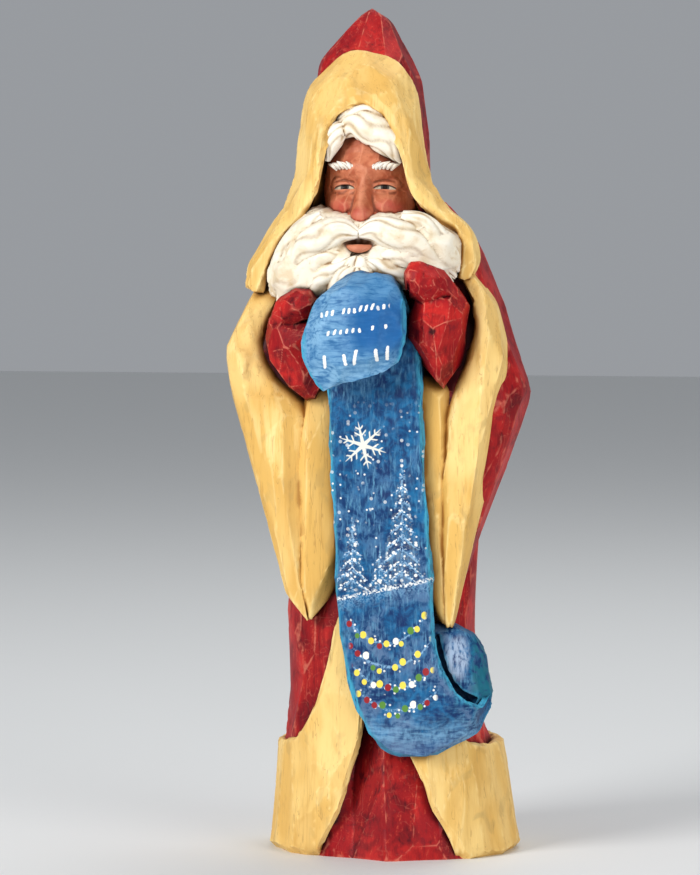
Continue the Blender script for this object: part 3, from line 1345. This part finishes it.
def red_paint():
    """Barn red, scrubbed on in streaks, dark in the hollows and rubbed pale on the ridges."""
    paint = Paint("red_paint")
    wear, tone, depth, crease, edge = paint.told("wear", "tone", "depth", "crease", "edge")
    broad, patch = paint.noise(13, seed=1), paint.noise(5.5, detail=3.0, seed=8, swirl=0.6)
    streak = paint.noise(1.1, stretch=(1, 1, 7), detail=4.0, seed=5, roughness=0.6)
    fleck = paint.noise(0.8, detail=4.0, seed=15, roughness=0.7, swirl=0.8)
    light = (broad.ramp(0.38, 0.64) * 0.8 + tone.ramp(0.3, 1.0) * 0.35).clipped()
    paint.colour = paint.mix((148, 14, 22), (196, 36, 32), light)
    dark = tone.ramp(-0.1, -1.0) * 0.5 + patch.ramp(0.5, 0.7) * 0.5 + streak.ramp(0.48, 0.34) * 0.35
    paint.lay((92, 8, 18), dark.clipped())
    paint.lay((218, 84, 62), streak.ramp(0.54, 0.7) * fleck.ramp(0.42, 0.6) * 0.5)
    paint.lay((84, 10, 30), paint.noise(3.6, detail=2.0, seed=33).ramp(0.6, 0.74) * 0.4)
    shadow = (depth.ramp(0.1, 0.5) * 0.85 + crease.ramp(0.1, 0.6) * 0.6).clipped()
    paint.lay((58, 4, 12), shadow)
    paint.lay((20, 5, 5), depth.ramp(0.42, 0.8) * 0.85)
    worn = paint.noise(2.8, detail=3.0, seed=14).ramp(0.36, 0.56)
    rubbed = (wear.ramp(0.5, 0.95) * 0.85 + edge.ramp(0.2, 0.6) * 0.9).clipped() * worn
    scratch = paint.hairline(3.2, (1, 1, 3.4), 51) * 0.3 + paint.hairline(2.4, (2.6, 1, 1), 61) * 0.25
    scratch = scratch.clipped()
    rubbed = (rubbed + scratch).clipped() * depth.ramp(0.5, 0.2)
    paint.lay((226, 128, 104), rubbed * 0.56)
    height = wood_grain(paint) * 0.06 + streak * 0.07 + fleck * 0.05 - scratch * 0.08
    return paint.finish(0.42 + 0.16 * patch + 0.12 * rubbed, height, shine=0.16)


def cream_paint():
    """Thin cream over upright wood grain, with a tan glaze wiped off the high places."""
    paint = Paint("cream_paint")
    wear, tone, depth, crease, edge = paint.told("wear", "tone", "depth", "crease", "edge")
    broad = paint.noise(15, stretch=(1, 1, 2.2), detail=2.0, seed=2)
    brush = paint.noise(1.5, stretch=(1, 1, 14), detail=4.0, seed=6, roughness=0.6)
    wipe = paint.noise(4.5, stretch=(1, 1, 3), detail=3.0, seed=26, swirl=0.5)
    paint.colour = paint.mix((244, 206, 128), (228, 182, 98), broad.ramp(0.4, 0.62))
    glaze = (tone.ramp(0.0, -1.0) * 0.5 + brush.ramp(0.5, 0.72) * 0.35 + wipe.ramp(0.5, 0.68) * 0.4).clipped()
    paint.lay((204, 152, 72), glaze * 0.6)
    high = (tone.ramp(0.2, 1.0) * 0.35 + edge.ramp(0.08, 0.4) * 0.6 + wear.ramp(0.4, 1.0) * 0.5).clipped()
    paint.lay((250, 220, 150), high * brush.ramp(0.66, 0.42))
    smudge = paint.noise(6, stretch=(1, 1, 1.8), detail=4.0, seed=17, swirl=0.7).ramp(0.56, 0.7)
    paint.lay((172, 142, 88), smudge * 0.3)
    shadow = (depth.ramp(0.1, 0.45) * 0.85 + crease.ramp(0.1, 0.6) * 0.7).clipped()
    paint.lay((160, 108, 42), shadow * (0.75 + 0.5 * wipe))
    paint.lay((66, 40, 16), depth.ramp(0.34, 0.6) * 0.88)
    paint.lay((26, 16, 8), depth.ramp(0.52, 0.78) * 0.88)
    pore = paint.hairline(0.9, (1, 1, 12), 71, 0.03)
    paint.lay((150, 104, 54), pore * 0.35)
    height = wood_grain(paint) * 0.08 + brush * 0.06 - pore * 0.05
    return paint.finish(0.46 + 0.12 * broad, height, shine=0.24)


def white_paint(name="white_paint", light=(243, 233, 211), wash=(146, 108, 66), strength=1.0):
    """Warm white with a brown wash left standing in its grooves."""
    paint = Paint(name)
    wear, depth, crease, edge = paint.told("wear", "depth", "crease", "edge")
    broad = paint.noise(6, detail=4.0, seed=4, swirl=0.5)
    fleck = paint.noise(1.1, stretch=(1.4, 1, 1), detail=4.0, seed=24, roughness=0.65)
    stain = (broad.ramp(0.46, 0.68) * 0.65 + fleck.ramp(0.55, 0.72) * 0.35).clipped()
    paint.colour = paint.mix(light, (212, 186, 142), stain)
    paint.lay((252, 248, 236), edge.ramp(0.06, 0.35) * 0.7)
    groove = wear.ramp(-0.1, -1.1) * 0.55 + crease.ramp(0.08, 0.7) * 0.85 + depth.ramp(0.3, 0.7) * 0.5
    groove = (groove.clipped() * (0.35 + 0.9 * fleck)).clipped()
    paint.lay(wash, groove * strength)
    paint.lay((54, 30, 14), depth.ramp(0.42, 0.72) * 0.9)
    mouth = (((paint.x - BEARD_X) / 5.4) ** 2 + ((paint.z - (MOUTH_Z + 0.4)) / 2.2) ** 2).ramp(1.0, 0.6)
    paint.lay((70, 36, 16), mouth * paint.y.ramp(-33.0, -31.6) * 0.92)
    height = fleck * 0.07
    return paint.finish(0.46 + 0.14 * broad, height)


def skin_paint():
    """Tanned skin with a brown glaze in its creases, and the painted eyes."""
    paint = Paint("skin_paint")
    wear, depth, crease, edge = paint.told("wear", "depth", "crease", "edge")
    broad = paint.noise(3.2, detail=4.0, seed=5, swirl=0.4)
    fleck = paint.noise(0.9, stretch=(1.5, 1, 1), detail=4.0, seed=19, roughness=0.7)
    side = abs(paint.x - float(HEAD_MIDDLE[0]))
    paint.colour = paint.mix((204, 126, 92), (176, 92, 62), broad.ramp(0.38, 0.66))

    def spot(across, height, wide, tall):
        return ((((side - across) / wide) ** 2) + (((paint.z - height) / tall) ** 2)).ramp(1.0, 0.1)

    cheeks, nose = spot(7.6, NOSE_BASE_Z + 4.2, 5.0, 4.4), spot(0.0, NOSE_BASE_Z + 2.4, 4.2, 4.0)
    rosy = (cheeks * 0.6 + nose * 0.6).clipped()
    paint.lay((192, 80, 70), rosy * (0.5 + broad))
    paint.lay((140, 74, 48), fleck.ramp(0.54, 0.7) * 0.4)
    paint.lay((222, 150, 116), (edge.ramp(0.12, 0.5) * 0.4 + wear.ramp(0.6, 1.0) * 0.1).clipped())
    glaze = (crease.ramp(0.06, 0.6) * 0.75 + depth.ramp(0.3, 0.75) * 0.6).clipped()
    paint.lay((98, 48, 28), glaze * (0.7 + 0.4 * fleck))
    paint.lay((36, 20, 12), depth.ramp(0.6, 0.9) * 0.85)

    # Eyes, nearly closed: a little white, a grey-brown iris and a dark lash line in the slit of the lids.
    across = (side - EYE_SPACING) / EYE_HALF
    up = paint.z - (EYE_Z - 0.4)
    middle = across * -0.12 - across * across * 0.5
    half = LID_GAP * 1.1 * (1 - across * across).clipped() ** 0.5
    inside = (abs(up - middle) - half).ramp(0.08, -0.08) * paint.y.ramp(FACE_FRONT + 6, FACE_FRONT + 5)
    from_iris = ((side - EYE_SPACING) ** 2 + (up + 0.1) ** 2) ** 0.5
    eye = paint.mix((206, 190, 168), (74, 72, 70), from_iris.ramp(1.4, 1.2))
    eye = paint.mix(eye, (20, 14, 12), from_iris.ramp(0.85, 0.7))
    eye = paint.mix(eye, (34, 20, 12), (up - middle - half).ramp(-0.55, -0.1) * 0.9)
    paint.lay(eye, inside)
    lash = abs(up - middle - half - 0.05).ramp(0.24, 0.06) * abs(across).ramp(1.1, 0.98)
    paint.lay((66, 34, 20), lash * 0.8)
    height = fleck * 0.08 + broad * 0.06
    return paint.finish(0.44 + 0.14 * broad - 0.14 * inside, height)


def bare_wood():
    paint = Paint("bare_basswood")
    ring = paint.noise(3.0, stretch=(1, 5, 1), detail=2.0, seed=4)
    pore = paint.noise(0.5, detail=2.0, seed=7)
    paint.colour = paint.mix((224, 194, 148), (198, 162, 112), ring.ramp(0.4, 0.62))
    paint.lay((150, 112, 70), pore.ramp(0.6, 0.78) * 0.5)
    return paint.finish(0.72 + 0.1 * ring, ring * 0.05 + pore * 0.05)


def blue_paint():
    """Night blue scrubbed with lighter blues, turquoise edges, a winter picture and lines of dabs."""
    paint = Paint("blue_paint")
    tone, depth, crease, edge, rim = paint.told("tone", "depth", "crease", "edge", "rim")
    mottle = paint.noise(3.2, detail=5.0, seed=3, roughness=0.6, swirl=0.5)
    cloud = paint.noise(10, stretch=(1, 1, 1.5), detail=3.0, seed=7, swirl=0.4)
    brush = paint.noise(0.8, stretch=(1, 1, 5), detail=5.0, seed=11, roughness=0.6)
    sweep = paint.noise(0.75, stretch=(8, 1, 1.2), detail=4.0, seed=13, roughness=0.55, swirl=0.25)
    flap = on_flap(paint)
    bowl = paint.z.ramp(62.0, 44.0) * (1 - flap)
    turned = (flap + bowl * 0.7).clipped()
    stroke = brush * (1 - turned) + sweep * turned
    light = (mottle.ramp(0.36, 0.68) * 0.85 + tone.ramp(0.0, 1.0) * 0.15).clipped()
    paint.colour = paint.mix((6, 44, 94), (24, 106, 156), light)
    paint.lay((98, 156, 190), stroke.ramp(0.46, 0.72) * (0.3 + 0.55 * cloud.ramp(0.4, 0.6)))
    violet = cloud.ramp(0.46, 0.6) * (0.3 + 0.5 * paint.z.ramp(105.0, 60.0))
    paint.lay((100, 118, 148), (violet * mottle.ramp(0.42, 0.58)).clipped() * 0.8)
    left = paint.x.ramp(2.0, -14.0) * paint.z.ramp(150.0, 157.0)
    deep = paint.x.ramp(-12.0, 0.0) * paint.z.ramp(150.0, 157.0) * paint.z.ramp(171.0, 164.0)
    blend = paint.mix((60, 122, 172), (16, 90, 156), (deep * (0.65 + 0.5 * mottle)).clipped())
    blend = paint.mix(blend, (26, 86, 138), sweep.ramp(0.46, 0.32) * 0.45)
    paint.lay(blend, flap * 0.82)
    pale = flap * (0.25 + 0.6 * left + 0.65 * paint.z.ramp(155.0, 146.0) - 0.4 * deep)
    pale = (pale + bowl * paint.z.ramp(46.0, 36.0) * 0.7).clipped()
    paint.lay((126, 172, 206), pale * stroke.ramp(0.3, 0.6) * (0.4 + 0.8 * mottle.ramp(0.3, 0.6)))
    curl = paint.x.ramp(18.0, 21.0) * paint.z.ramp(46.0, 50.0)
    curl = curl * paint.z.ramp(74.0, 70.0) * paint.y.ramp(-31.0, -29.8)
    middle = (((paint.x - 24.0) / 4.5) ** 2 + ((paint.z - 61.0) / 8.0) ** 2).ramp(1.0, 0.2)
    paint.lay((164, 182, 206), curl * middle * stroke.ramp(0.32, 0.56) * 0.9)
    paint.lay((18, 104, 118), curl * paint.x.ramp(27.0, 30.0) * mottle.ramp(0.4, 0.55) * 0.8)
    rimmed = (rim.ramp(0.3, 0.9) * 0.85 + edge.ramp(0.1, 0.4) * 0.45).clipped() * brush.ramp(0.3, 0.55)
    paint.lay((62, 158, 190), rimmed)
    shadow = (depth.ramp(0.2, 0.6) * 0.7 + crease.ramp(0.12, 0.7) * 0.6).clipped()
    paint.lay((8, 26, 56), shadow)
    paint.lay((6, 10, 18), depth.ramp(0.5, 0.82) * 0.9)
    paint.lay((58, 58, 104), paint.z.ramp(38.5, 34.5) * 0.4)
    winter_picture(paint)
    height = brush * 0.06 + mottle * 0.05
    return paint.finish(0.42 + 0.14 * mottle, height, shine=0.22)


SNOW_WHITE, SNOW_BLUE, BARK_GREY = (240, 240, 236), (136, 178, 212), (120, 126, 128)
LIGHTS = ((238, 216, 84), (150, 34, 40), (90, 138, 58), (240, 238, 226))
LIGHT_PITCH = 2.3
# Each swag's height, sag and shift along its string.
SWAGS = ((71.5, 0.052, 0.2), (64.5, 0.046, 0.6), (58.0, 0.044, 0.1), (51.5, 0.04, 0.4))
SNOWFLAKE_MIDDLE = (-3.6, 124.5)
SNOWFLAKE_ARM = 7.4
# Each row's height, and the length, spacing and thickness of its dabs.
DAB_ROWS = ((165.6, 0.5, 1.7, 0.42), (159.6, 0.35, 1.9, 0.42), (151.6, 1.9, 3.1, 0.5))


def snowflake(paint):
    """One arm with two pairs of twigs, turned to six places round its middle."""
    dx, dz = paint.x - SNOWFLAKE_MIDDLE[0], paint.z - SNOWFLAKE_MIDDLE[1]
    far = (dx * dx + dz * dz) ** 0.5
    turn = dx.maths("ARCTAN2", dz, dx) + 0.3
    turn = abs(turn.maths("PINGPONG", turn, math.pi / 6))
    along, off = far * turn.maths("COSINE", turn), far * turn.maths("SINE", turn)
    flake = (off - (SNOWFLAKE_ARM - along) * 0.085).ramp(0.14, -0.08) * along.ramp(SNOWFLAKE_ARM, 6.9)
    for root, size in ((2.8, 1.9), (4.8, 1.3)):
        flake = flake + abs(along - root - off * 0.8).ramp(0.38, 0.16) * off.ramp(size, size - 0.3)
    return flake.clipped()


def flap_dabs(paint, grit):
    """Paints rows of short dabs on the flap that are no letters."""
    for height, tall, pitch, thick in DAB_ROWS:
        line = paint.z - height - paint.x * 0.14
        step = paint.x / pitch + height
        cell = step.maths("FLOOR", step)
        pick = paint.chance(cell + height)
        aside = (step - cell - 0.5) * pitch - line * (pick - 0.5) * 0.9
        over = abs(line - (pick - 0.5) * 0.9) - tall * (0.5 + 0.6 * pick)
        over = over.maths("MAXIMUM", over, 0.0)
        gap = (aside * aside + over * over) ** 0.5
        mark = (thick - gap + (grit - 0.5) * 0.5).ramp(-0.08, 0.1) * pick.ramp(0.2, 0.22)
        paint.lay(SNOW_WHITE, mark * abs(paint.x + 4.0).ramp(10.6, 10.2) * on_flap(paint))


def on_flap(paint):
    return paint.y.ramp(-36.5, -39.0) * paint.z.ramp(139.0, 142.0)


def winter_picture(paint):
    """A generic winter night: a snowflake, firs on a snowy slope, snow, and swags of coloured lights."""
    x = paint.x + (paint.noise(2.2, detail=2.0, seed=31) - 0.5) * 1.6
    z = paint.z + (paint.noise(2.2, detail=2.0, seed=37) - 0.5) * 1.6
    front = paint.y.ramp(-30.0, -31.0) * (1 - on_flap(paint))
    grit = paint.noise(0.55, detail=3.0, seed=41)

    def dabs(size, radius, seed, kept):
        """Round dabs of paint, one in a cell of that size, where the cell's lot is below the kept share."""
        spot = paint.add("ShaderNodeCombineXYZ", {}, {"X": paint.x / size + seed, "Y": paint.z / size})
        cells = {"Vector": spot, "Scale": 1.0, "Randomness": 0.9}
        dots = paint.add("ShaderNodeTexVoronoi", {"voronoi_dimensions": "2D"}, cells, out="Distance")
        lot = Wire(paint, dots.socket.node.outputs["Color"])
        lot = paint.add("ShaderNodeSeparateXYZ", {}, {0: lot})
        share = radius / size
        return dots.ramp(share, share * 0.7) * lot.ramp(kept, kept - 0.02)

    fine = dabs(size=1.5, radius=0.4, seed=3.1, kept=0.36)
    coarse = dabs(size=2.3, radius=0.6, seed=9.7, kept=0.24)

    def fir(middle, top, foot, spread, pitch):
        """Drooping brush strokes that widen from a fir's top to its foot, with dabs of snow on them."""
        across, fall = abs(x - middle), top - z
        reach = fall * (spread / (top - foot)) * (0.8 + 0.5 * paint.noise(3.0, seed=middle))
        row = (fall - across * 0.8) / pitch
        row = row.maths("FRACT", row)
        within = (reach - across).ramp(-0.1, 0.6) * z.ramp(foot - 0.6, foot + 0.8)
        within = within * z.ramp(top + 0.2, top - 0.4) * front
        paint.lay(BARK_GREY, within * grit.ramp(0.46, 0.6) * 0.4)
        stroke = (abs(row - 0.5).ramp(0.24, 0.06) + across.ramp(0.5, 0.2) * 0.8).clipped() * within
        paint.lay(SNOW_BLUE, stroke * grit.ramp(0.4, 0.54) * 0.85)
        snow = (abs(row - 0.36).ramp(0.12, 0.04) * grit.ramp(0.5, 0.6) + (fine + coarse) * 0.9).clipped()
        paint.lay(SNOW_WHITE, (snow * within).clipped())

    slope = 81.0 + paint.x * 0.22
    drift = (z - slope).ramp(0.6, -0.2) * (z - slope).ramp(-5.0, -0.6) * front
    paint.lay(SNOW_BLUE, drift * grit.ramp(0.4, 0.6) * 0.5)
    fir(middle=8.2, top=121.0, foot=84.0, spread=6.4, pitch=3.6)
    fir(middle=-6.8, top=104.0, foot=81.0, spread=5.0, pitch=3.0)
    fir(middle=1.4, top=94.0, foot=82.0, spread=3.4, pitch=2.4)
    ledge = abs(z - slope).ramp(0.9, 0.3) * front
    paint.lay(SNOW_WHITE, (ledge * (grit.ramp(0.44, 0.56) + fine)).clipped() * 0.85)
    paint.lay((232, 230, 218), snowflake(paint) * front * 0.94)

    # Snow falls in dabs of two sizes, thinner towards the top.
    sky = z.ramp(84.0, 92.0) * z.ramp(140.0, 126.0) * front * paint.noise(7, seed=44).ramp(0.46, 0.56)
    flying = dabs(size=2.6, radius=0.36, seed=17.3, kept=0.5)
    paint.lay(SNOW_WHITE, (flying + coarse * 0.6).clipped() * sky * 0.85)

    # Swags: lights of four colours hang close along sagging strings, with white dabs between them.
    for n, (height, sag, shift) in enumerate(SWAGS):
        middle = 3.0 + n * 1.2
        dx = paint.x - middle
        step = dx / LIGHT_PITCH + shift
        cell = step.maths("FLOOR", step)
        pick, other = paint.chance(cell + 17.3 * (n + 1)), paint.chance(cell + 5.9 * (n + 3))
        inside = front * dx.ramp(13.0, 11.6) * dx.ramp(-12.6, -11.2)
        string = height - 6.0 + (x - middle) ** 2 * sag
        paint.lay(SNOW_BLUE, abs(z - string).ramp(0.6, 0.2) * inside * grit.ramp(0.42, 0.56) * 0.8)
        near = abs(z - string).ramp(2.4, 1.2) * inside
        paint.lay(SNOW_WHITE, (near * fine).clipped() * 0.9)
        hung = (cell + 0.5 - shift) * LIGHT_PITCH
        up = paint.z - (height - 6.4 + hung * hung * sag) - (other - 0.5) * 3.0
        aside = dx - hung - (pick - 0.5) * 0.7
        light = LIGHTS[0]
        for k, shade in enumerate(LIGHTS[1:]):
            light = paint.mix(light, shade, pick.ramp(0.42 + 0.21 * k, 0.421 + 0.21 * k))
        gap = (aside * aside + up * up * 0.8) ** 0.5
        size = 0.72 + 0.34 * other
        paint.lay(light, (size - gap).ramp(-0.06, 0.1) * inside * other.ramp(0.08, 0.1))
    flap_dabs(paint, grit)


# The carving.


def make_carving():
    brow_white = white_paint("brow_paint", light=(206, 196, 186), wash=(96, 60, 44), strength=1.2)
    paints = {
        RED: red_paint(), CREAM: cream_paint(), WHITE: white_paint(), SKIN: skin_paint(), BROW: brow_white,
        BLUE: blue_paint(), BARE: bare_wood(),
    }

    def objects(name, forms):
        return [mesh_object(form, f"{name}_{i}", paints) for i, form in enumerate(forms)]

    tree = lock_tree()
    locks = []

    def lock(rows, paint, sides, strands, depth, twist, step=0.6):
        n = len(locks)
        settings = {"Sides": sides, "Strands": float(strands), "Depth": depth, "Twist": twist}
        settings.update({"Seed": 3.7 * n, "Paint": paints[paint]})
        locks.append(swept(rows, tree, f"lock_{n}", step, settings))

    def on_beard(rows, back):
        """Rows of [x, z, half width] laid along the beard's face and set back from it."""
        return [[x, beard_face(x, z) + back, z, half] for x, z, half in rows]

    for rows in hair_locks:
        lock(rows, WHITE, sides=60, strands=6, depth=0.6, twist=0.5)
    for rows in beard_locks:
        lock(on_beard(rows, 2.6), WHITE, sides=54, strands=5, depth=0.5, twist=0.35)
    for rows in moustache:
        lock(on_beard(rows, 2.2), WHITE, sides=72, strands=6, depth=0.55, twist=0.3)
    for side in (-1, 1):
        for rows in brow_tufts(side):
            lock(rows, BROW, sides=12, strands=4, depth=0.12, twist=0.3, step=0.35)

    # What the forms have below the floor is cut off, which leaves the flat bare underside.
    slab = lofted([[[-90, -90, z], [90, -90, z], [90, 90, z], [-90, 90, z]] for z in (-20, 0)], BARE)
    base = mesh_object(make_cloak(), "cloak", paints)
    mesh = joined(base, [
        ("DIFFERENCE", objects("hollow", [make_hollow(), make_opening()])),
        ("UNION", objects("sleeve", make_sleeves())),
        ("DIFFERENCE", objects("mouth", make_mouths())),
        ("UNION", objects("curl", make_backing())),
        ("DIFFERENCE", objects("curl_hollow", [make_curl_hollow()])),
        ("UNION", objects("part", [
            make_underrobe(), make_hem(), make_border(), make_head(), make_beard(), make_lip(),
            *make_mittens(), make_scroll(),
        ]) + locks),
        ("DIFFERENCE", objects("floor_cut", [slab])),
    ])
    keep_largest_shell(mesh)
    mend_seams(mesh)
    weather(mesh, 10)
    mesh.transform(Matrix.Scale(MM, 4))
    mesh.shade_smooth()
    mesh.set_sharp_from_angle(angle=math.radians(38))
    carving = bpy.data.objects.new("painted_carving", mesh)
    bpy.context.scene.collection.objects.link(carving)
    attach(carving, "root")
    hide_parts("santa_carving")


# Floor, light and camera.


def make_floor():
    mesh = bpy.data.meshes.new("floor")
    half = 3
    corners = [(-half, -half, 0), (half, -half, 0), (half, half, 0), (-half, half, 0)]
    mesh.from_pydata(corners, [], [(0, 1, 2, 3)])
    paint = Paint("floor_paint")
    paint.colour = linear(226, 227, 226)
    mesh.materials.append(paint.finish(0.6, 0.0, strength=0.0))
    floor = bpy.data.objects.new("floor", mesh)
    bpy.context.scene.collection.objects.link(floor)


def make_light(name, place, target, size, power):
    lamp = bpy.data.lights.new(name, "AREA")
    lamp.size, lamp.energy = size, power
    made = bpy.data.objects.new(name, lamp)
    made.location = place
    made.rotation_euler = (Vector(target) - Vector(place)).to_track_quat("-Z", "Y").to_euler()
    bpy.context.scene.collection.objects.link(made)


def make_studio():
    make_floor()
    middle = (0, 0, 0.13)
    make_light("key_light", (-0.8, -1.1, 0.75), middle, size=0.6, power=17)
    make_light("fill_light", (1.0, -0.9, 0.45), middle, size=0.8, power=7.5)
    make_light("top_light", (0.2, 0.5, 1.1), middle, size=0.8, power=5)
    world = bpy.data.worlds.new("soft_room")
    world.use_nodes = True
    glow = world.node_tree.nodes["Background"].inputs
    glow["Color"].default_value = linear(208, 212, 218)
    glow["Strength"].default_value = 0.5
    bpy.context.scene.world = world
    bpy.context.scene.view_settings.view_transform = "Standard"


def make_camera():
    turn, rise, far = math.radians(10), math.radians(3.5), 1.4
    aim = Vector((math.cos(turn) * -0.0131, math.sin(turn) * -0.0131, 0.1249))
    away = Vector((math.sin(turn) * math.cos(rise), -math.cos(turn) * math.cos(rise), math.sin(rise)))
    lens = bpy.data.cameras.new("camera")
    lens.lens, lens.sensor_width = 189.5, 36
    lens.clip_start, lens.clip_end = 0.05, 20
    camera = bpy.data.objects.new("camera", lens)
    camera.location = aim + away * far
    camera.rotation_euler = (-away).to_track_quat("-Z", "Y").to_euler()
    bpy.context.scene.collection.objects.link(camera)
    bpy.context.scene.camera = camera


make_carving()
make_studio()
make_camera()
bpy.context.view_layer.update()
